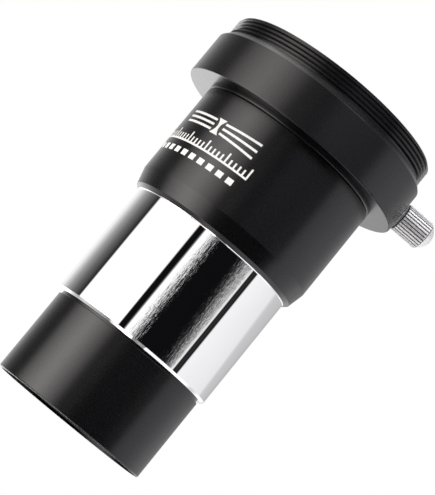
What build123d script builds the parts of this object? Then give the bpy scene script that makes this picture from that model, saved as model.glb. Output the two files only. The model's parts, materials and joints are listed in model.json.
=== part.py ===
from build123d import *
import math
import os

# A barlow lens for 31.7 mm (1.25 inch) eyepieces, as it comes apart on a bench.
# Frame: the optical axis is Z and +Z points to the eyepiece end. The origin is the
# centre of the lens cell's lower rim, so the part stands on its lens cell.
# The thumbscrew points along +X. All sizes are millimetres.

# Standard interfaces
NOSE_R = 15.85              # 31.7 mm nosepiece, which slides into a focuser
SOCKET_R = 15.9             # 31.8 mm socket, which takes an eyepiece

# Threads: nominal radius and pitch
T_THREAD = (21.0, 0.75)     # M42 x 0.75, for cameras
FILTER_THREAD = (14.25, 0.6)  # M28.5 x 0.6, for filters and for the lens cell itself
RING_THREAD = (12.5, 0.5)   # M25 x 0.5, for the retaining ring
SCREW_THREAD = (2.0, 0.7)   # M4 x 0.7, for the thumbscrew

# Heights of the main steps, from the lens cell's lower rim
CELL_SHOULDER_Z = 16.05
NOSE_BOTTOM_Z = 16.5
LIP_BOTTOM_Z = 38.25
BODY_BOTTOM_Z = 38.42
FOOT_EDGE_Z = 39.02
TAPER_TOP_Z = 42.0
SOCKET_STOP_Z = 44.0
BODY_TOP_Z = 59.55
HUB_BOTTOM_Z = 59.62
COLLAR_BOTTOM_Z = 60.05
COLLAR_CORNER_Z = 67.9
COLLAR_TOP_Z = 69.05
TOP_Z = 72.6

# Outer radii of the turned parts
CELL_R = 15.05
LIP_R = 15.98
BODY_END_R = 16.02
BODY_FOOT_R = 16.75
BODY_R = 17.5
NECK_R = 17.12
HUB_R = 17.5
COLLAR_R = 22.0

# Thread form: a 60 degree profile with flat crests and roots, and running play
THREAD_DEPTH = 0.5413       # of the pitch
CREST_FLAT = 0.125          # of the pitch
FLANK_SLOPE = math.tan(math.radians(30))
CREST_PLAY = 0.02
ROOT_PLAY = 0.05
FLANK_PLAY = 0.02
CUT_OVER = 0.03             # how far a thread cutter stands clear of the metal

# Lens cell
CELL_SEAT_R = 14.75
CELL_RELIEF_R = 13.75
CELL_THREAD_BOTTOM_Z = 16.95
CELL_TOP_Z = 20.6
CELL_TOP_BORE_R = 12.7
CELL_EDGE = 0.3
CELL_TOP_EDGE = 0.12
SEAT_PLAY = 0.02
FILTER_LEAD_R = 14.45
FILTER_MINOR_R = 13.98
FILTER_BOTTOM_Z = 0.5
FILTER_TOP_Z = 3.7
FILTER_FLOOR_Z = 4.2
RING_LEAD = 0.35
RING_UNDERCUT_Z = (7.2, 7.6)
RING_UNDERCUT_R = 12.6
SEAT_Z = 13.7
SEAT_TOP_Z = 14.7
APERTURE_R = 11.0

# Cemented doublet: a biconcave crown and a positive meniscus flint
LENS_R = 12.0
LENS_PLAY = 0.05
LENS_AXIAL_PLAY = 0.03
CROWN_FRONT_R = 60.0
CEMENT_R = 36.0
FLINT_BACK_R = 110.0
CROWN_THICKNESS = 1.5
FLINT_THICKNESS = 2.6
CEMENT_GAP = 0.02

# Retaining ring and spacer
RING_BOTTOM_Z = 4.5
RING_TOP_Z = 6.9
RING_BORE_R = 10.9
RING_BEVEL = 0.7
SPANNER_SLOT = (1.6, 0.9)   # width and depth
SPACER_GAP = 0.02

# Nosepiece barrel
NOSE_BORE_R = 14.4
NOSE_THREAD_Z = (16.9, 21.0)
NOSE_EDGE = 0.45
LIP_EDGE = 0.12
SPIGOT_R = 15.6
SPIGOT_PLAY = 0.02
STOP_BEVEL = 0.3

# Glare stop, a blackened ring with a knife edge inside the barrel
GLARE_Z = 30.0
GLARE_HALF = 1.0
GLARE_EDGE_HALF = 0.12
GLARE_RIM_R = 13.6
GLARE_BORE_R = 11.6

# Body tube
BODY_EDGE = 0.15
FOOT_EDGE = 0.1
BODY_SPIGOT_TOP_Z = 62.2

# Eyepiece collar
COUNTERBORE_R = 17.15
COUNTERBORE_TOP_Z = 66.4
SOCKET_CHAMFER = 0.4
T_RELIEF_R = 20.5
T_RELIEF_TOP_Z = 69.55
T_LEAD = 0.5                # size of the lead chamfer on the thread's end
COLLAR_LOWER_EDGE = 0.25
COLLAR_UPPER_EDGE = 0.15
HUB_EDGE = 0.28

# Compression ring
CLAMP_RING_R = (16.05, 16.75)
CLAMP_RING_Z = (62.35, 66.25)
CLAMP_RING_SPLIT = 1.6

# Thumbscrew: distances along its axis are measured from the optical axis
SCREW_Z = 64.3
SCREW_THREAD_SPAN = (17.9, 22.15)
SCREW_NECK_R = 1.55
SCREW_LEAD = 0.25
HEAD_X = 22.4
KNURL_END_X = 27.95
HEAD_END_X = 29.4
HEAD_R = 2.75
HEAD_EDGE = 0.25
FLUTES = 28
FLUTE_DEPTH = 0.22
HOLE_MOUTH = 0.3

# Pressure pad, which turns in the thumbscrew's end
PAD_X = (17.05, 17.7)
PAD_R = 1.45
PAD_EDGE = 0.2
PAD_STEM_R = 0.6
PAD_STEM_END_X = 19.6
PAD_PLAY = 0.05
PAD_BORE_END_X = 19.8


def turned(corners):
    """A solid of revolution about Z from (radius, height) corners; a third value rounds one."""
    outline = make_face(Polyline(*[corner[:2] for corner in corners], close=True))
    for corner in corners:
        if len(corner) > 2:
            sharp = outline.vertices().sort_by_distance(corner[:2])[0]
            outline = fillet(sharp, corner[2])
    return revolve(Plane.XZ * outline, axis=Axis.Z)


def disc(radius, bottom, top):
    """A plain cylinder on Z between two heights."""
    return turned([(0, bottom), (radius, bottom), (radius, top), (0, top)])


def helical_groove(pitch, start, end, radii, widths):
    """A helical trapezoid between two radii, with its width at each of them."""
    inner, outer = radii
    path = Helix(pitch=pitch, height=end - start, radius=inner)
    section = Plane(origin=path @ 0, x_dir=(1, 0, 0), z_dir=path % 0) * Polygon(
        (0, -widths[0] / 2),
        (outer - inner, -widths[1] / 2),
        (outer - inner, widths[1] / 2),
        (0, widths[0] / 2),
        align=None,
    )
    return Pos(0, 0, start) * sweep(section, path=path, is_frenet=True)


def male_profile(thread):
    """Crest radius, root radius and half the crest's width of an external thread."""
    nominal, pitch = thread
    crest = nominal - CREST_PLAY
    return crest, crest - THREAD_DEPTH * pitch, (CREST_FLAT * pitch - FLANK_PLAY) / 2


def female_profile(thread):
    """The same measures of the space inside a nut, which clears the male thread."""
    crest, root, half_width = male_profile(thread)
    groove_bottom = thread[0] + CREST_PLAY
    narrowing = (groove_bottom - crest) * FLANK_SLOPE
    return groove_bottom, root + ROOT_PLAY, half_width + FLANK_PLAY - narrowing


def threaded_rod(thread, profile, datum, bottom, top, lead=0):
    """A threaded rod whose turns are in step with a datum height; lead chamfers its ends."""
    pitch = thread[1]
    crest, root, half_width = profile(thread)
    start = datum + math.floor((bottom - datum) / pitch - 1) * pitch
    end = top + pitch
    root_width = pitch - 2 * (half_width + (crest - root) * FLANK_SLOPE)
    outer_width = pitch - 2 * (half_width - CUT_OVER * FLANK_SLOPE)
    groove = helical_groove(
        pitch, start, end, (root, crest + CUT_OVER), (root_width, outer_width)
    )
    turns = disc(crest, start - pitch, end + pitch) - groove
    outside = crest + CUT_OVER
    if not lead:
        return turns & disc(outside, bottom, top)
    return turns & turned(
        [
            (0, bottom),
            (outside - lead, bottom),
            (outside, bottom + lead),
            (outside, top - lead),
            (outside - lead, top),
            (0, top),
        ]
    )


def sag(curvature, radius):
    """Depth of a spherical surface at a distance from its axis."""
    return curvature - math.sqrt(curvature**2 - radius**2)


def surface_arc(vertex, curvature, side):
    """Half the outline of a lens surface; side is +1 if its edge is above its vertex."""
    middle = LENS_R / 2
    return ThreePointArc(
        (0, vertex),
        (middle, vertex + side * sag(curvature, middle)),
        (LENS_R, vertex + side * sag(curvature, LENS_R)),
    )


def lens_element(front, back):
    """A glass element between two surfaces, each a (vertex, curvature, side)."""
    front_arc = surface_arc(*front)
    back_arc = surface_arc(*back)
    outline = make_face(
        [
            front_arc,
            Line(front_arc @ 1, back_arc @ 1),
            back_arc,
            Line(back_arc @ 0, front_arc @ 0),
        ]
    )
    return revolve(Plane.XZ * outline, axis=Axis.Z)


def flint_back_vertex():
    """The doublet's upper edge rests just under the cell's seat."""
    return SEAT_Z - LENS_AXIAL_PLAY - sag(FLINT_BACK_R, LENS_R)


def cement_vertex():
    return flint_back_vertex() - FLINT_THICKNESS


def crown_front_vertex():
    return cement_vertex() - CEMENT_GAP - CROWN_THICKNESS


def doublet_bottom():
    """Height of the crown's lower edge, where the spacer bears."""
    return crown_front_vertex() - sag(CROWN_FRONT_R, LENS_R)


def make_crown_element():
    front = (crown_front_vertex(), CROWN_FRONT_R, -1)
    back = (cement_vertex() - CEMENT_GAP, CEMENT_R, 1)
    return lens_element(front, back)


def make_flint_element():
    front = (cement_vertex(), CEMENT_R, 1)
    back = (flint_back_vertex(), FLINT_BACK_R, 1)
    return lens_element(front, back)


def make_lens_cell():
    """The cup that holds the doublet, with a filter thread below and its own thread above."""
    lens_bore = LENS_R + LENS_PLAY
    outside = turned(
        [
            (0, 0),
            (CELL_R, 0, CELL_EDGE),
            (CELL_R, CELL_SHOULDER_Z, CELL_TOP_EDGE),
            (CELL_SEAT_R, CELL_SHOULDER_Z),
            (CELL_SEAT_R, NOSE_BOTTOM_Z - SEAT_PLAY),
            (CELL_RELIEF_R, NOSE_BOTTOM_Z - SEAT_PLAY),
            (CELL_RELIEF_R, CELL_THREAD_BOTTOM_Z),
            (0, CELL_THREAD_BOTTOM_Z),
        ]
    )
    outside += threaded_rod(
        FILTER_THREAD, male_profile, NOSE_BOTTOM_Z, CELL_THREAD_BOTTOM_Z, CELL_TOP_Z
    )
    filter_tap = threaded_rod(
        FILTER_THREAD, female_profile, 0, FILTER_BOTTOM_Z, FILTER_TOP_Z
    )
    ring_tap = threaded_rod(
        RING_THREAD, female_profile, RING_BOTTOM_Z, FILTER_FLOOR_Z, RING_UNDERCUT_Z[0]
    )
    cell = outside - filter_tap - ring_tap
    cell -= disc(FILTER_MINOR_R, FILTER_BOTTOM_Z - CELL_EDGE, FILTER_TOP_Z + CELL_EDGE)
    cell -= disc(FILTER_LEAD_R, -CELL_EDGE, FILTER_BOTTOM_Z)
    cell -= disc(FILTER_LEAD_R, FILTER_TOP_Z, FILTER_FLOOR_Z)
    return cell - turned(
        [
            (0, RING_UNDERCUT_Z[0]),
            (RING_UNDERCUT_R, RING_UNDERCUT_Z[0]),
            (RING_UNDERCUT_R, RING_UNDERCUT_Z[1]),
            (lens_bore, RING_UNDERCUT_Z[1]),
            (lens_bore, SEAT_Z),
            (APERTURE_R, SEAT_Z),
            (APERTURE_R, SEAT_TOP_Z),
            (CELL_TOP_BORE_R, SEAT_TOP_Z + CELL_TOP_BORE_R - APERTURE_R),
            (CELL_TOP_BORE_R, CELL_TOP_Z + CELL_EDGE),
            (0, CELL_TOP_Z + CELL_EDGE),
        ]
    )


def make_retaining_ring():
    """The threaded ring that holds the doublet, with two slots for a lens spanner."""
    ring = threaded_rod(
        RING_THREAD, male_profile, RING_BOTTOM_Z, RING_BOTTOM_Z, RING_TOP_Z, RING_LEAD
    )
    ring -= turned(
        [
            (0, RING_BOTTOM_Z - RING_BEVEL),
            (RING_BORE_R + 2 * RING_BEVEL, RING_BOTTOM_Z - RING_BEVEL),
            (RING_BORE_R, RING_BOTTOM_Z + RING_BEVEL),
            (RING_BORE_R, RING_TOP_Z + RING_BEVEL),
            (0, RING_TOP_Z + RING_BEVEL),
        ]
    )
    width, depth = SPANNER_SLOT
    return ring - Pos(0, 0, RING_BOTTOM_Z) * Box(3 * RING_THREAD[0], width, 2 * depth)


def make_lens_spacer():
    """A thin ring between the retaining ring and the glass."""
    return turned(
        [
            (APERTURE_R, RING_TOP_Z + SPACER_GAP),
            (LENS_R, RING_TOP_Z + SPACER_GAP),
            (LENS_R, doublet_bottom() - LENS_AXIAL_PLAY),
            (APERTURE_R, doublet_bottom() - LENS_AXIAL_PLAY),
        ]
    )


def make_nosepiece_barrel():
    """The polished tube, threaded for the lens cell and lipped against the body."""
    spigot = SPIGOT_R - SPIGOT_PLAY
    rod = turned(
        [
            (0, NOSE_BOTTOM_Z),
            (NOSE_R - NOSE_EDGE, NOSE_BOTTOM_Z),
            (NOSE_R, NOSE_BOTTOM_Z + NOSE_EDGE),
            (NOSE_R, LIP_BOTTOM_Z),
            (LIP_R, LIP_BOTTOM_Z + LIP_EDGE),
            (LIP_R, BODY_BOTTOM_Z),
            (spigot, BODY_BOTTOM_Z),
            (spigot, SOCKET_STOP_Z),
            (0, SOCKET_STOP_Z),
        ]
    )
    barrel = rod - threaded_rod(FILTER_THREAD, female_profile, NOSE_BOTTOM_Z, *NOSE_THREAD_Z)
    barrel -= disc(FILTER_LEAD_R, NOSE_BOTTOM_Z - NOSE_EDGE, NOSE_THREAD_Z[0])
    return barrel - turned(
        [
            (0, NOSE_THREAD_Z[1]),
            (NOSE_BORE_R, NOSE_THREAD_Z[1]),
            (NOSE_BORE_R, SOCKET_STOP_Z - STOP_BEVEL),
            (NOSE_BORE_R + 2 * STOP_BEVEL, SOCKET_STOP_Z + STOP_BEVEL),
            (0, SOCKET_STOP_Z + STOP_BEVEL),
        ]
    )


def make_glare_stop():
    return turned(
        [
            (GLARE_RIM_R, GLARE_Z - GLARE_HALF),
            (NOSE_BORE_R - SPIGOT_PLAY, GLARE_Z - GLARE_HALF),
            (NOSE_BORE_R - SPIGOT_PLAY, GLARE_Z + GLARE_HALF),
            (GLARE_RIM_R, GLARE_Z + GLARE_HALF),
            (GLARE_BORE_R, GLARE_Z + GLARE_EDGE_HALF),
            (GLARE_BORE_R, GLARE_Z - GLARE_EDGE_HALF),
        ]
    )


def make_body_tube():
    """The main tube, tapered at its foot, with the spigot that carries the collar."""
    return turned(
        [
            (SPIGOT_R, BODY_BOTTOM_Z),
            (BODY_END_R, BODY_BOTTOM_Z),
            (BODY_FOOT_R, FOOT_EDGE_Z, FOOT_EDGE),
            (BODY_R, TAPER_TOP_Z),
            (BODY_R, BODY_TOP_Z, BODY_EDGE),
            (NECK_R, BODY_TOP_Z),
            (NECK_R, BODY_SPIGOT_TOP_Z),
            (SOCKET_R, BODY_SPIGOT_TOP_Z),
            (SOCKET_R, SOCKET_STOP_Z),
            (SPIGOT_R, SOCKET_STOP_Z),
        ]
    )


def along_screw(shape):
    """Turn a shape made on Z so that it lies on the thumbscrew's axis, +Z to +X."""
    return Location((0, 0, SCREW_Z), (0, 90, 0)) * shape


def make_eyepiece_collar():
    """The collar with the camera thread, the socket's mouth and the thumbscrew's hole."""
    outside = turned(
        [
            (0, HUB_BOTTOM_Z),
            (HUB_R, HUB_BOTTOM_Z, HUB_EDGE),
            (HUB_R, COLLAR_BOTTOM_Z),
            (COLLAR_R, COLLAR_BOTTOM_Z, COLLAR_LOWER_EDGE),
            (COLLAR_R, COLLAR_CORNER_Z, COLLAR_UPPER_EDGE),
            (T_THREAD[0], COLLAR_TOP_Z, COLLAR_UPPER_EDGE),
            (T_RELIEF_R, COLLAR_TOP_Z),
            (T_RELIEF_R, T_RELIEF_TOP_Z),
            (0, T_RELIEF_TOP_Z),
        ]
    )
    outside += threaded_rod(
        T_THREAD, male_profile, T_RELIEF_TOP_Z, T_RELIEF_TOP_Z, TOP_Z + T_LEAD
    )
    outside -= turned(
        [
            (T_THREAD[0] - T_LEAD, TOP_Z),
            (T_THREAD[0] + T_LEAD, TOP_Z - 2 * T_LEAD),
            (T_THREAD[0] + T_LEAD, TOP_Z + 2 * T_LEAD),
            (0, TOP_Z + 2 * T_LEAD),
            (0, TOP_Z),
        ]
    )
    inside = turned(
        [
            (0, 0),
            (COUNTERBORE_R, 0),
            (COUNTERBORE_R, COUNTERBORE_TOP_Z),
            (SOCKET_R, COUNTERBORE_TOP_Z),
            (SOCKET_R, TOP_Z - SOCKET_CHAMFER),
            (SOCKET_R + 2 * SOCKET_CHAMFER, TOP_Z + SOCKET_CHAMFER),
            (0, TOP_Z + SOCKET_CHAMFER),
        ]
    )
    return outside - inside - screw_hole_tool()


def screw_hole_tool():
    """The space of the tapped and countersunk radial hole for the thumbscrew."""
    tap = threaded_rod(
        SCREW_THREAD, female_profile, SCREW_THREAD_SPAN[0], SOCKET_R, COLLAR_R + HOLE_MOUTH
    )
    mouth = SCREW_THREAD[0] + HOLE_MOUTH
    wide = COLLAR_R + HOLE_MOUTH
    countersink = turned([(0, COLLAR_R - mouth), (mouth + HOLE_MOUTH, wide), (0, wide)])
    return along_screw(tap + countersink)


def make_compression_ring():
    """The split brass ring that grips the eyepiece; its split is opposite the screw."""
    inner, outer = CLAMP_RING_R
    bottom, top = CLAMP_RING_Z
    ring = disc(outer, bottom, top) - disc(inner, bottom, top)
    height = top - bottom
    split = Pos(-outer, 0, bottom + height / 2) * Box(outer, CLAMP_RING_SPLIT, 2 * height)
    return ring - split


def flute_cutter():
    """One V-shaped flute of the straight knurl, along the head."""
    outer = HEAD_R + FLUTE_DEPTH
    half_width = outer * math.tan(math.pi / FLUTES)
    profile = make_face(
        Polyline(
            (HEAD_R - FLUTE_DEPTH, 0),
            (outer, -half_width),
            (outer, half_width),
            close=True,
        )
    )
    length = KNURL_END_X - HEAD_X + FLUTE_DEPTH
    return Pos(0, 0, HEAD_X - FLUTE_DEPTH) * extrude(profile, length)


def thumbscrew_head():
    """The knurled cylinder with its domed end."""
    dome_start = (HEAD_R - HEAD_EDGE, KNURL_END_X)
    dome_height = HEAD_END_X - KNURL_END_X
    dome_radius = (dome_start[0] ** 2 + dome_height**2) / (2 * dome_height)
    middle = dome_start[0] / 2
    dome_middle = (middle, HEAD_END_X - sag(dome_radius, middle))
    outline = make_face(
        [
            Polyline(
                (0, HEAD_X),
                (HEAD_R - HEAD_EDGE, HEAD_X),
                (HEAD_R, HEAD_X + HEAD_EDGE),
                (HEAD_R, KNURL_END_X - HEAD_EDGE),
                dome_start,
            ),
            ThreePointArc(dome_start, dome_middle, (0, HEAD_END_X)),
            Line((0, HEAD_END_X), (0, HEAD_X)),
        ]
    )
    flute = flute_cutter()
    flutes = [Rot(0, 0, turn * 360 / FLUTES) * flute for turn in range(FLUTES)]
    return revolve(Plane.XZ * outline, axis=Axis.Z) - flutes


def make_thumbscrew():
    """The knurled head and its threaded shank, bored for the pressure pad."""
    tip, thread_end = SCREW_THREAD_SPAN
    shank = threaded_rod(SCREW_THREAD, male_profile, tip, tip, thread_end, SCREW_LEAD)
    neck = disc(SCREW_NECK_R, thread_end, HEAD_X)
    bore = disc(PAD_STEM_R + PAD_PLAY, tip - PAD_PLAY, PAD_BORE_END_X)
    return along_screw(thumbscrew_head() + neck + shank - bore)


def make_pressure_pad():
    """The brass pad that bears on the compression ring without turning."""
    face, back = PAD_X
    pad = turned(
        [
            (0, face),
            (PAD_R - PAD_EDGE, face),
            (PAD_R, face + PAD_EDGE),
            (PAD_R, back),
            (PAD_STEM_R, back),
            (PAD_STEM_R, PAD_STEM_END_X),
            (0, PAD_STEM_END_X),
        ]
    )
    return along_screw(pad)


PARTS = {
    "lens_cell": make_lens_cell,
    "crown_element": make_crown_element,
    "flint_element": make_flint_element,
    "lens_spacer": make_lens_spacer,
    "retaining_ring": make_retaining_ring,
    "nosepiece_barrel": make_nosepiece_barrel,
    "glare_stop": make_glare_stop,
    "body_tube": make_body_tube,
    "eyepiece_collar": make_eyepiece_collar,
    "compression_ring": make_compression_ring,
    "thumbscrew": make_thumbscrew,
    "pressure_pad": make_pressure_pad,
}

os.makedirs("parts", exist_ok=True)
for node, make in PARTS.items():
    export_step(make(), f"parts/{node}.step")
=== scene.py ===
import json
import math

import bmesh
import bpy
from mathutils import Matrix, Vector


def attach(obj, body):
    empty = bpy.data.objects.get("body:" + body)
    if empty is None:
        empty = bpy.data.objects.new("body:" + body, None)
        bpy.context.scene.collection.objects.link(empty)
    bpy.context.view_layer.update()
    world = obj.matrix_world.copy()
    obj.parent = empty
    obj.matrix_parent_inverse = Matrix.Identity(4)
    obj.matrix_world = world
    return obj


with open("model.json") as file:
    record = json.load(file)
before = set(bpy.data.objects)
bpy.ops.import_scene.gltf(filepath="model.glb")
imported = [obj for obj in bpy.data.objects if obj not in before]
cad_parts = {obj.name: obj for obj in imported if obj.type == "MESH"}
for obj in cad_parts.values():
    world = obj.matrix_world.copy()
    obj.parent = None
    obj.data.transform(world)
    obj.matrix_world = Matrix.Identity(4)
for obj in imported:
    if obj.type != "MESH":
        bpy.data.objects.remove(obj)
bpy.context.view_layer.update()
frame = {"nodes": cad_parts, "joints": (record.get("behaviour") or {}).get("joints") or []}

MM = 0.001

# Camera, from the object's own sizes: distance from the optical axis, height and pitch
CAMERA_AZIMUTH = math.radians(-8.0)
CAMERA_DISTANCE = 0.3589
CAMERA_SIDE = 0.00094
CAMERA_HEIGHT = -0.00906
CAMERA_PITCH = math.radians(7.66)
CAMERA_ROLL = math.radians(39.28)
CAMERA_LENS = 153.3
CAMERA_CLIP = (0.01, 100.0)

# Studio: light round the horizon, as (degrees to the left of the camera, red, green, blue)
STUDIO_BANDS = (
    (-180, 0.30, 0.30, 0.30), (-167, 0.48, 0.48, 0.48), (-147, 0.56, 0.56, 0.57),
    (-130, 0.60, 0.60, 0.61), (-125, 0.66, 0.66, 0.67), (-120, 0.86, 0.86, 0.88),
    (-90, 0.92, 0.92, 0.93), (-70.5, 0.97, 0.97, 0.99), (-69, 0.015, 0.015, 0.015),
    (-66.5, 0.010, 0.010, 0.010), (-65.5, 0.05, 0.05, 0.05), (-64.5, 0.02, 0.02, 0.02),
    (-63, 0.02, 0.02, 0.02), (-61.5, 0.004, 0.004, 0.005), (97.4, 0.006, 0.006, 0.006),
    (102, 0.045, 0.045, 0.045), (114.5, 0.15, 0.15, 0.15), (128.5, 0.35, 0.35, 0.35),
    (150, 0.90, 0.90, 0.90), (168, 1.00, 1.00, 1.00),
)
# Light from above, round the same circle, the heights where it sets in, and how it fades overhead
UPPER_BANDS = (
    (-180, 0.60, 0.60, 0.62), (-130, 0.50, 0.50, 0.52), (-100, 0.35, 0.35, 0.37),
    (-70, 0.30, 0.30, 0.33), (-50, 1.10, 1.10, 1.25), (-8, 1.50, 1.50, 1.70),
    (-4, 0.08, 0.08, 0.09), (30, 0.10, 0.10, 0.10), (100, 0.30, 0.30, 0.30),
    (150, 0.70, 0.70, 0.70), (180, 0.60, 0.60, 0.62),
)
UPPER_START, UPPER_END = (0.24, 0.0), (0.42, 1.0)
UPPER_DIMMING = ((0.74, 1.0), (0.88, 0.3))
# The large box on the left, and its strength by the height of the direction
LEFT_BANDS = (
    (27.1, 0.0, 0.0, 0.0), (28.1, 1.30, 1.24, 1.18), (60, 6.10, 5.75, 5.50),
    (96.4, 1.20, 1.16, 1.12), (97.4, 0.0, 0.0, 0.0),
)
LEFT_HEIGHTS = ((-0.60, 0.5), (-0.30, 0.82), (0.0, 1.0), (0.07, 0.98), (0.20, 0.54), (0.34, 0.40))
# Two narrow strips that only the polished barrel reflects whole
STRIP_BANDS = (
    (-61.5, 0.0), (-60.5, 0.95), (-57, 0.62), (-53, 0.30), (-48.5, 0.09), (-43, 0.0),
    (3, 0.0), (5, 0.30), (7.5, 1.0), (17.5, 1.20), (18.5, 0.0),
)
STRIP_HEIGHTS = ((0.045, 0.0), (0.060, 1.0), (0.145, 1.0), (0.160, 0.0))
# A wide strip above the camera's right
HIGH_BANDS = ((-56, 0.0), (-50, 0.30), (-10, 0.48), (-6, 0.0))
HIGH_HEIGHTS = ((0.22, 0.0), (0.28, 1.0), (0.40, 1.0), (0.50, 0.0))
# Light behind the object and just below it, for the faces that look down
BEHIND_BANDS = (
    (-180, 0.90), (-176, 0.60), (-150, 0.6), (-125, 0.0), (135, 0.0), (158, 1.4), (176, 1.3),
    (180, 0.90),
)
BEHIND_HEIGHTS = ((-0.60, 0.0), (-0.42, 1.0), (-0.10, 1.0), (-0.02, 0.0))
BELOW_BANDS = (
    (-180, 0.20), (-135, 0.45), (-95, 0.30), (-45, 0.75), (0, 0.45), (50, 0.75), (90, 0.25),
    (140, 0.45), (180, 0.20),
)
BELOW_HEIGHTS = ((-0.96, 0.5), (-0.90, 1.0), (-0.72, 1.0), (-0.62, 0.0))
# Lamps overhead: (right of the camera, towards it, up), half width in degrees, brightness
LAMPS = (
    ((0.25, 0.26, 0.93), 9.0, 7.0),
    ((-0.42, -0.30, 0.86), 17.0, 2.4),
)
LAMP_CORE = 0.6
# Where the reflected streaks are torn and lean: (degrees to the left, share)
TORN_BANDS = ((-60, 0), (-56, 1), (-38, 1), (-20, 0.4), (-4, 1), (10, 0.8), (15.5, 0.1), (18, 0))
LEANING_BANDS = (
    (-150, 0), (-142, 1.6), (-100, 1.6), (-90, 0), (-59, 0), (-55, 1), (-30, 1), (-12, 0)
)
# The noise that tears them: how far, how fine, and how long along the horizon
TEAR_DEGREES = 26.0
TEAR_SCALE = 1400.0
TEAR_DETAIL = 1.0
TEAR_STRETCH = 0.13
LEAN_DEGREES = 8.0
LEAN_HEIGHTS = (0.045, 0.170)
# The floor, and its sun lamp: strength, and width and turn in degrees
FLOOR_SIZE = 6.0
FLOOR_COLOUR = (0.86, 0.86, 0.86, 1)
FLOOR_ROUGHNESS = 0.8
FLOOR_LIGHT = 1.3
FLOOR_LIGHT_WIDTH = 50.0
FLOOR_LIGHT_TURN = (20.0, -25.0, 0.0)
# Places of the colour sockets on a Mix node, whose names repeat
MIX_FIRST, MIX_SECOND, MIX_RESULT = 6, 7, 2

# Finishes: colour, metallic, roughness, grain, lathe rings, spread of tone, other sockets
BLACK = {"IOR": 1.5, "Specular Tint": (0.96, 0.96, 1.0, 1)}
FINISHES = {
    "body_anodised": ((0.003, 0.003, 0.0033), 0.0, 0.27, 0.6, 0.8, 0.05, BLACK),
    "collar_anodised": ((0.004, 0.004, 0.0043), 0.0, 0.28, 0.6, 0.8, 0.05, BLACK),
    "cell_anodised": ((0.003, 0.003, 0.0032), 0.0, 0.27, 0.6, 0.5, 0.05, BLACK),
    "matt_black": ((0.01, 0.01, 0.01), 0.0, 0.75, 0.3, 0.3, 0.05, {}),
    "polished_chrome": ((0.93, 0.93, 0.94), 1.0, 0.02, 0.02, 0.0, 0.01, {}),
    "nickel_plate": ((0.95, 0.94, 0.93), 0.55, 0.40, 0.1, 0.0, 0.02, {}),
    "turned_brass": ((0.79, 0.58, 0.26), 1.0, 0.28, 0.1, 0.4, 0.05, {}),
    "white_print": ((0.82, 0.82, 0.80), 0.0, 0.50, 0.3, 0.0, 0.05, {}),
}
GLASSES = {"crown_glass": ((0.93, 0.98, 0.95), 1.52), "flint_glass": ((0.95, 0.96, 0.98), 1.62)}
GLASS_COATING = (0.55, 1.0, 0.72, 1)
NODE_FINISHES = {
    "lens_cell": "cell_anodised",
    "eyepiece_collar": "collar_anodised",
    "body_tube": "body_anodised",
    "nosepiece_barrel": "polished_chrome",
    "glare_stop": "matt_black",
    "lens_spacer": "matt_black",
    "retaining_ring": "matt_black",
    "compression_ring": "turned_brass",
    "pressure_pad": "turned_brass",
    "thumbscrew": "nickel_plate",
    "crown_element": "crown_glass",
    "flint_element": "flint_glass",
}
# The finishes' noise: features per metre and detail, where clouds turn dark to light, and depths
CLOUD_SCALE, CLOUD_DETAIL = 90.0, 4.0
SPECK_SCALE, SPECK_DETAIL = 6000.0, 3.0
LATHE_SCALE, LATHE_DETAIL = 9000.0, 3.0
HAZE_SCALE, HAZE_DETAIL = 400.0, 5.0
CLOUD_DARK, CLOUD_LIGHT = 0.3, 0.7
SPECK_DEPTH = 0.0015 * MM
LATHE_DEPTH = 0.0006 * MM
ROUGHNESS_SPREAD = 0.3
HAZE_ROUGHNESS = 0.01

# Painted shade in the thumbscrew's flutes: where they are along X and round the screw's own axis
FLUTED_FINISH = "nickel_plate"
FLUTED_JOINT = "screw_turn"
FLUTE_SPAN = (22.4 * MM, 27.95 * MM)
FLUTE_RADII = (2.58 * MM, 2.72 * MM)
FLUTE_PAINTED_SHADE = 0.08

# Print on the body: its outer and inner radius, then polar degrees round the tube and heights in mm
PRINT_TOP = 17.53 * MM
PRINT_ROOT = 17.48 * MM
PRINT_STEP = 2.0
RAY_WIDTH = 0.42
RAY_GAP = 0.95
RAY_START, RAY_END = 191.0, 249.0
SIGN_LOW, SIGN_HIGH = 51.8, 54.8
SIGN_PLACE, SIGN_WAIST, SIGN_EDGE = 220.0, 0.9, 3.2
SIGN_STEPS = 12
RAY_CLEARANCE = 0.5
RAY_SPREAD = 0.92
ROWS_START = 160.0
SCALE_LINE = (48.4, 48.75)
SCALE_SPAN = (158.0, 254.0)
TICK_COUNT, TICK_PITCH, TICK_WIDTH = 31, 3.1, 1.1
TICK_TOP, LONG_TICK_TOP, LONG_TICK_EVERY = 49.8, 50.6, 5
SQUARE_ROW = (46.1, 47.2)
SQUARE_COUNT, SQUARE_PITCH, SQUARE_WIDTH = 13, 7.1, 4.2


def camera():
    """A low viewpoint in front of the lens cell, rolled so that the tube leans to the right."""
    turn = Matrix.Rotation(CAMERA_AZIMUTH, 3, "Z")
    place = turn @ Vector((CAMERA_SIDE, -CAMERA_DISTANCE, CAMERA_HEIGHT))
    right = turn @ Vector((1, 0, 0))
    ahead = turn @ Vector((0, math.cos(CAMERA_PITCH), math.sin(CAMERA_PITCH)))
    up = right.cross(ahead)
    rolled_right = math.cos(CAMERA_ROLL) * right + math.sin(CAMERA_ROLL) * up
    rolled_up = math.cos(CAMERA_ROLL) * up - math.sin(CAMERA_ROLL) * right
    data = bpy.data.cameras.new("camera")
    data.lens = CAMERA_LENS
    data.clip_start, data.clip_end = CAMERA_CLIP
    cam = bpy.data.objects.new("camera", data)
    bpy.context.scene.collection.objects.link(cam)
    axes = Matrix((rolled_right, rolled_up, -ahead)).transposed()
    cam.matrix_world = Matrix.Translation(place) @ axes.to_4x4()
    bpy.context.scene.camera = cam


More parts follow.
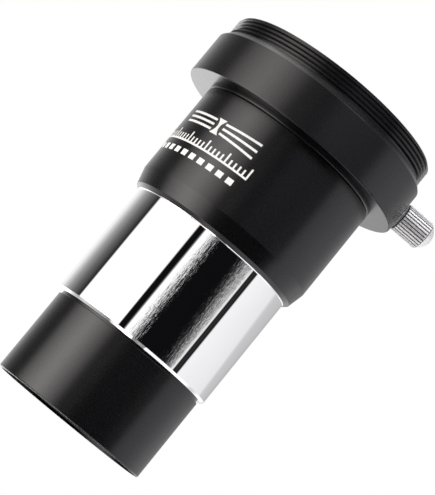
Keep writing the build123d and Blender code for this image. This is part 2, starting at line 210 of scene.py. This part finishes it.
class Nodes:
    """A short way to write a node tree."""

    def __init__(self, tree):
        self.tree = tree
        tree.nodes.clear()

    def add(self, kind, inputs=None, **settings):
        node = self.tree.nodes.new(kind)
        for name, value in settings.items():
            setattr(node, name, value)
        for socket, value in (inputs or {}).items():
            self.put(node.inputs[socket], value)
        return node

    def put(self, socket, value):
        if isinstance(value, bpy.types.NodeSocket):
            self.tree.links.new(value, socket)
        else:
            socket.default_value = value

    def math(self, operation, *values):
        node = self.add("ShaderNodeMath", operation=operation)
        for socket, value in zip(node.inputs, values):
            self.put(socket, value)
        return node.outputs[0]

    def ramp(self, factor, stops, smooth=False):
        node = self.add("ShaderNodeValToRGB", {"Fac": factor})
        elements = node.color_ramp.elements
        if smooth:
            node.color_ramp.interpolation = "EASE"
        while len(elements) > 1:
            elements.remove(elements[-1])
        for index, (place, value) in enumerate(stops):
            stop = elements[0] if index == 0 else elements.new(place)
            stop.position = place
            colour = value if isinstance(value, tuple) else (value, value, value)
            stop.color = (*colour, 1)
        return node.outputs["Color"]


def noise(n, place, scale, detail):
    """A noise texture's value."""
    texture = n.add("ShaderNodeTexNoise", {"Vector": place, "Scale": scale, "Detail": detail})
    return texture.outputs["Fac"]


def band_ramp(n, share, bands):
    """A colour ramp round the horizon; each band starts with its degrees to the left."""
    stops = [((band[0] + 180) / 360, band[1:] if len(band) > 2 else band[1]) for band in bands]
    return n.ramp(share, stops)


def height_ramp(n, height, stops):
    """A ramp over the height of a direction, from -1 straight down to 1 straight up."""
    half = n.math("MULTIPLY_ADD", height, 0.5, 0.5)
    return n.ramp(half, [((level + 1) / 2, value) for level, value in stops])


def lamp(n, way, direction, half_width, brightness):
    """A soft round lamp seen in one direction."""
    aim = n.add(
        "ShaderNodeVectorMath",
        {0: way, 1: Vector(direction).normalized()},
        operation="DOT_PRODUCT",
    )
    rim = math.cos(math.radians(half_width))
    core = math.cos(math.radians(half_width * LAMP_CORE))
    glow = n.add(
        "ShaderNodeMapRange",
        {"Value": aim.outputs["Value"], "From Min": rim, "From Max": core},
    )
    return n.math("MULTIPLY", glow.outputs["Result"], brightness)


def shifted(n, share, height):
    """The azimuth share, leaning with height and torn by noise where the streaks are."""
    stretched = n.math("MULTIPLY", share, TEAR_STRETCH)
    place = n.add("ShaderNodeCombineXYZ", {"X": stretched, "Y": height})
    torn = n.math("SUBTRACT", noise(n, place.outputs[0], TEAR_SCALE, TEAR_DETAIL), 0.5)
    torn = n.math("MULTIPLY", torn, band_ramp(n, share, TORN_BANDS))
    low, high = LEAN_HEIGHTS
    lean = n.add(
        "ShaderNodeMapRange",
        {"Value": height, "From Min": low, "From Max": high, "To Min": 1.0, "To Max": -1.0},
    )
    leaning = n.math("MULTIPLY", lean.outputs["Result"], band_ramp(n, share, LEANING_BANDS))
    moved = n.math("MULTIPLY_ADD", torn, 2 * TEAR_DEGREES / 360, share)
    return n.math("MULTIPLY_ADD", leaning, LEAN_DEGREES / 360, moved)


def studio():
    """Soft boxes and dark flags round the object, as its polished barrel reflects them."""
    world = bpy.data.worlds.new("studio")
    bpy.context.scene.world = world
    world.use_nodes = True
    n = Nodes(world.node_tree)
    sky = n.add("ShaderNodeTexCoord").outputs["Generated"]
    turned = n.add(
        "ShaderNodeVectorRotate", {"Vector": sky, "Angle": -CAMERA_AZIMUTH}, rotation_type="Z_AXIS"
    )
    xyz = n.add("ShaderNodeSeparateXYZ", {"Vector": turned.outputs[0]})
    left = n.math("MULTIPLY", xyz.outputs["X"], -1.0)
    near = n.math("MULTIPLY", xyz.outputs["Y"], -1.0)
    height = xyz.outputs["Z"]
    share = n.math("MULTIPLY_ADD", n.math("ARCTAN2", left, near), 1 / (2 * math.pi), 0.5)
    moved = shifted(n, share, height)

    above = band_ramp(n, share, UPPER_BANDS)
    upward = n.ramp(height, [UPPER_START, UPPER_END], smooth=True)
    dimmed = n.add("ShaderNodeVectorMath", {0: above}, operation="MULTIPLY")
    n.put(dimmed.inputs[1], height_ramp(n, height, UPPER_DIMMING))
    mixed = n.add("ShaderNodeMix", data_type="RGBA")
    n.put(mixed.inputs["Factor"], upward)
    n.put(mixed.inputs[MIX_FIRST], band_ramp(n, moved, STUDIO_BANDS))
    n.put(mixed.inputs[MIX_SECOND], dimmed.outputs[0])
    light = mixed.outputs[MIX_RESULT]
    facing = n.add("ShaderNodeCombineXYZ", {"X": xyz.outputs["X"], "Y": near, "Z": height})
    glows = [lamp(n, facing.outputs[0], *settings) for settings in LAMPS]
    for bands, heights, where in (
        (LEFT_BANDS, LEFT_HEIGHTS, share),
        (STRIP_BANDS, STRIP_HEIGHTS, moved),
        (HIGH_BANDS, HIGH_HEIGHTS, share),
        (BEHIND_BANDS, BEHIND_HEIGHTS, share),
        (BELOW_BANDS, BELOW_HEIGHTS, share),
    ):
        box = n.add("ShaderNodeVectorMath", {0: band_ramp(n, where, bands)}, operation="MULTIPLY")
        n.put(box.inputs[1], height_ramp(n, height, heights))
        glows.append(box.outputs[0])
    for glow in glows:
        light = n.add("ShaderNodeVectorMath", {0: light, 1: glow}, operation="ADD").outputs[0]
    lit = n.add("ShaderNodeBackground", {"Color": light, "Strength": 1.0})
    plain = n.add("ShaderNodeBackground", {"Color": (1, 1, 1, 1), "Strength": 1.0})
    seen = n.add("ShaderNodeLightPath").outputs["Is Camera Ray"]
    both = n.add("ShaderNodeMixShader", {0: seen, 1: lit.outputs[0], 2: plain.outputs[0]})
    n.add("ShaderNodeOutputWorld", {"Surface": both.outputs[0]})


def floor_light():
    """A broad soft light for the floor, which the object's polished faces don't show."""
    data = bpy.data.lights.new("floor_light", "SUN")
    data.energy = FLOOR_LIGHT
    data.angle = math.radians(FLOOR_LIGHT_WIDTH)
    light = bpy.data.objects.new("floor_light", data)
    light.rotation_euler = tuple(math.radians(turn) for turn in FLOOR_LIGHT_TURN)
    light.visible_glossy = False
    bpy.context.scene.collection.objects.link(light)


def floor():
    """A pale floor under the lens cell, which is clear from below, where the camera stands."""
    half = FLOOR_SIZE / 2
    mesh = bpy.data.meshes.new("floor")
    corners = [(-half, -half, 0), (half, -half, 0), (half, half, 0), (-half, half, 0)]
    mesh.from_pydata(corners, [], [(0, 1, 2, 3)])
    plane = bpy.data.objects.new("floor", mesh)
    bpy.context.scene.collection.objects.link(plane)
    material = bpy.data.materials.new("floor")
    material.use_nodes = True
    n = Nodes(material.node_tree)
    paint = n.add(
        "ShaderNodeBsdfPrincipled",
        {"Base Color": FLOOR_COLOUR, "Roughness": FLOOR_ROUGHNESS},
    )
    clear = n.add("ShaderNodeBsdfTransparent")
    below = n.add("ShaderNodeNewGeometry").outputs["Backfacing"]
    both = n.add("ShaderNodeMixShader", {0: below, 1: paint.outputs[0], 2: clear.outputs[0]})
    n.add("ShaderNodeOutputMaterial", {"Surface": both.outputs[0]})
    mesh.materials.append(material)
    plane.visible_glossy = False


def painted_flute_shade(n, xyz, tone):
    """The tone with painted shade in the thumbscrew's flutes, darker by the distance from the
    screw's axis.
    """
    screw = next(joint for joint in frame["joints"] if joint["name"] == FLUTED_JOINT)
    up = n.math("SUBTRACT", xyz.outputs["Z"], screw["pos_m"][2])
    across = n.add("ShaderNodeCombineXYZ", {"Y": xyz.outputs["Y"], "Z": up}).outputs[0]
    radius = n.add("ShaderNodeVectorMath", {0: across}, operation="LENGTH").outputs["Value"]
    root, crest = FLUTE_RADII
    shade = n.add(
        "ShaderNodeMapRange",
        {"Value": radius, "From Min": root, "From Max": crest, "To Min": FLUTE_PAINTED_SHADE},
    )
    start, end = FLUTE_SPAN
    from_middle = n.math("ABSOLUTE", n.math("SUBTRACT", xyz.outputs["X"], (start + end) / 2))
    plain = n.math("GREATER_THAN", from_middle, (end - start) / 2)
    share = n.math("MAXIMUM", shade.outputs["Result"], plain)
    return n.add("ShaderNodeVectorMath", {0: tone, 1: share}, operation="MULTIPLY").outputs[0]


def surface(name):
    """A turned and finished surface: cloudy tone, fine grain, and faint lathe rings on Z."""
    colour, metallic, roughness, grain, rings, spread, sockets = FINISHES[name]
    material = bpy.data.materials.new(name)
    material.use_nodes = True
    n = Nodes(material.node_tree)
    place = n.add("ShaderNodeTexCoord").outputs["Object"]
    xyz = n.add("ShaderNodeSeparateXYZ", {"Vector": place})
    height = n.add("ShaderNodeCombineXYZ", {"Z": xyz.outputs["Z"]}).outputs[0]
    cloud = noise(n, place, CLOUD_SCALE, CLOUD_DETAIL)
    speck = noise(n, place, SPECK_SCALE, SPECK_DETAIL)
    lathe = noise(n, height, LATHE_SCALE, LATHE_DETAIL)
    light = tuple(min(1.0, c * (1 + spread)) for c in colour)
    dark = tuple(c * (1 - spread) for c in colour)
    tone = n.ramp(cloud, [(CLOUD_DARK, dark), (CLOUD_LIGHT, light)])
    # painted shade in the thumbscrew's flutes, darker towards their roots
    if name == FLUTED_FINISH:
        tone = painted_flute_shade(n, xyz, tone)
    smoothest = roughness * (1 - ROUGHNESS_SPREAD / 2)
    rough = n.math("MULTIPLY_ADD", speck, roughness * ROUGHNESS_SPREAD, smoothest)
    speck_bump = n.add(
        "ShaderNodeBump",
        {"Strength": grain, "Distance": SPECK_DEPTH, "Height": speck},
    )
    ring_bump = n.add(
        "ShaderNodeBump",
        {
            "Strength": rings,
            "Distance": LATHE_DEPTH,
            "Height": lathe,
            "Normal": speck_bump.outputs["Normal"],
        },
    )
    shader = n.add(
        "ShaderNodeBsdfPrincipled",
        {
            "Base Color": tone,
            "Metallic": metallic,
            "Roughness": rough,
            "Normal": ring_bump.outputs["Normal"],
            **sockets,
        },
    )
    n.add("ShaderNodeOutputMaterial", {"Surface": shader.outputs[0]})
    return material


def glass(name):
    """Coated optical glass, faintly clouded."""
    colour, index = GLASSES[name]
    material = bpy.data.materials.new(name)
    material.use_nodes = True
    n = Nodes(material.node_tree)
    place = n.add("ShaderNodeTexCoord").outputs["Object"]
    haze = noise(n, place, HAZE_SCALE, HAZE_DETAIL)
    shader = n.add(
        "ShaderNodeBsdfPrincipled",
        {
            "Base Color": (*colour, 1),
            "Roughness": n.math("MULTIPLY", haze, HAZE_ROUGHNESS),
            "IOR": index,
            "Transmission Weight": 1.0,
            "Specular Tint": GLASS_COATING,
        },
    )
    n.add("ShaderNodeOutputMaterial", {"Surface": shader.outputs[0]})
    return material


def dress():
    """Give every CAD node its finish, with smooth shading on all its faces."""
    finishes = {name: surface(name) for name in FINISHES} | {name: glass(name) for name in GLASSES}
    for node, finish in NODE_FINISHES.items():
        piece = frame["nodes"][node]
        piece.material_slots[0].material = finishes[finish]
        for face in piece.data.polygons:
            face.use_smooth = True
    return finishes


def on_body(point):
    """A point of the body's side, from its polar angle in degrees and its height in mm."""
    angle = math.radians(point[0])
    return Vector((math.cos(angle), math.sin(angle), 0.0)), point[1] * MM


def ribbon(mesh, first, second):
    """A closed film of print between two lines of (polar degrees, height in mm)."""
    rows = []
    for a, b in zip(first, second):
        row = []
        for point, radius in ((a, PRINT_TOP), (b, PRINT_TOP), (b, PRINT_ROOT), (a, PRINT_ROOT)):
            out, level = on_body(point)
            row.append(mesh.verts.new(out * radius + Vector((0, 0, level))))
        rows.append(row)
    for one, two in zip(rows, rows[1:]):
        for k in range(4):
            mesh.faces.new((one[k], one[(k + 1) % 4], two[(k + 1) % 4], two[k]))
    mesh.faces.new(rows[0][::-1])
    mesh.faces.new(rows[-1])


def shares(start, end):
    """Even shares of the way from one polar angle to another, fine enough for the body's curve."""
    steps = max(1, round(abs(end - start) / PRINT_STEP))
    return [k / steps for k in range(steps + 1)]


def bar(mesh, start, end, low, high):
    """A printed bar."""
    angles = [start + (end - start) * t for t in shares(start, end)]
    ribbon(mesh, [(a, low) for a in angles], [(a, high) for a in angles])


def ray(mesh, start, end, start_level, end_level):
    """A thin printed ray of light."""
    turn = end - start
    rise = end_level - start_level
    line = [(start + turn * t, start_level + rise * t) for t in shares(start, end)]
    half = RAY_WIDTH / 2
    ribbon(mesh, [(a, z - half) for a, z in line], [(a, z + half) for a, z in line])


def lens_sign(mesh):
    """A sign for a diverging lens: a hollow-sided lens that spreads three rays."""
    levels = [SIGN_LOW + (SIGN_HIGH - SIGN_LOW) * k / SIGN_STEPS for k in range(SIGN_STEPS + 1)]
    middle = (SIGN_LOW + SIGN_HIGH) / 2
    half_height = (SIGN_HIGH - SIGN_LOW) / 2
    flare = SIGN_EDGE - SIGN_WAIST
    widths = [SIGN_WAIST + flare * ((z - middle) / half_height) ** 2 for z in levels]
    ribbon(
        mesh,
        [(SIGN_PLACE - w, z) for w, z in zip(widths, levels)],
        [(SIGN_PLACE + w, z) for w, z in zip(widths, levels)],
    )
    clear = SIGN_EDGE + RAY_CLEARANCE
    for way in (-1, 0, 1):
        level = middle + way * RAY_GAP
        ray(mesh, RAY_START, SIGN_PLACE - clear, level, level)
        ray(mesh, SIGN_PLACE + clear, RAY_END, level, middle + way * half_height * RAY_SPREAD)


def graduated_scale(mesh):
    """A line of print with ticks, each fifth one longer, and no numbers."""
    bar(mesh, *SCALE_SPAN, *SCALE_LINE)
    for k in range(TICK_COUNT):
        start = ROWS_START + TICK_PITCH * k
        top = LONG_TICK_TOP if k % LONG_TICK_EVERY == 0 else TICK_TOP
        bar(mesh, start, start + TICK_WIDTH, SCALE_LINE[1], top)


def squares(mesh):
    """A row of printed squares."""
    for k in range(SQUARE_COUNT):
        start = ROWS_START + SQUARE_PITCH * k
        bar(mesh, start, start + SQUARE_WIDTH, *SQUARE_ROW)


def print_marks(paint):
    """White print in three rows on the body: a lens sign, a plain scale and a row of squares."""
    data = bpy.data.meshes.new("body_print")
    marks = bpy.data.objects.new("body_print", data)
    bpy.context.scene.collection.objects.link(marks)
    mesh = bmesh.new()
    lens_sign(mesh)
    graduated_scale(mesh)
    squares(mesh)
    bmesh.ops.recalc_face_normals(mesh, faces=mesh.faces)
    mesh.to_mesh(data)
    mesh.free()
    data.materials.append(paint)
    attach(marks, "tube")


camera()
studio()
floor()
floor_light()
materials = dress()
print_marks(materials["white_print"])
bpy.context.scene.view_settings.view_transform = "Standard"
